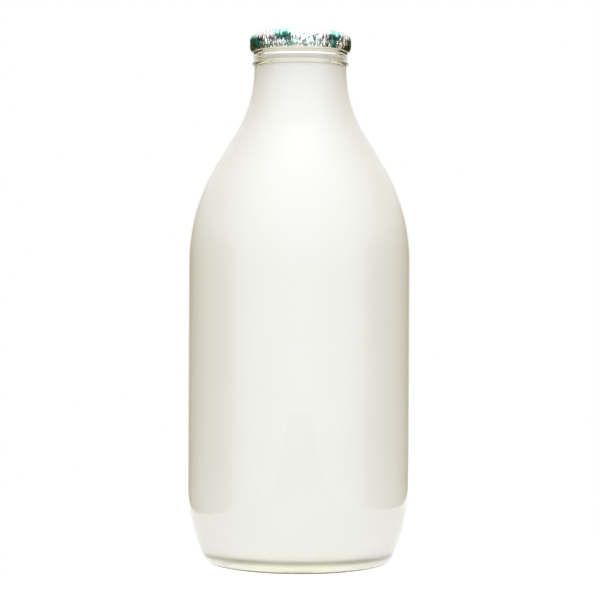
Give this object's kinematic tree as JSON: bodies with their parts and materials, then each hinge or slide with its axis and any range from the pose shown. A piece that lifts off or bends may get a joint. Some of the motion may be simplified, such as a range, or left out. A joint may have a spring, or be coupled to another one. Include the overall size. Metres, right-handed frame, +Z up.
{
  "type": "glass milk bottle",
  "caption": "Clear glass milk bottle with a sloping shoulder, full of milk and sealed with a crimped green and silver foil cap.",
  "frame": {"origin": "centre of the ring that the bottle stands on, at the bottom of the part", "axes": "+Z up along the bottle's axis, towards the cap; X and Y are free, as the form is round, and the pictured side faces -Y"},
  "size_m": [0.0782, 0.0782, 0.1851],
  "materials": {
    "glass": "clear, smooth and glossy, with a faint green tint where it is thick",
    "milk": "opaque, warm white",
    "foil": "bright crimped foil with slanting green stripes"
  },
  "bodies": {
    "root": {"bottle": "glass", "milk": "milk", "foil_cap": "foil"}
  },
  "joints": []
}
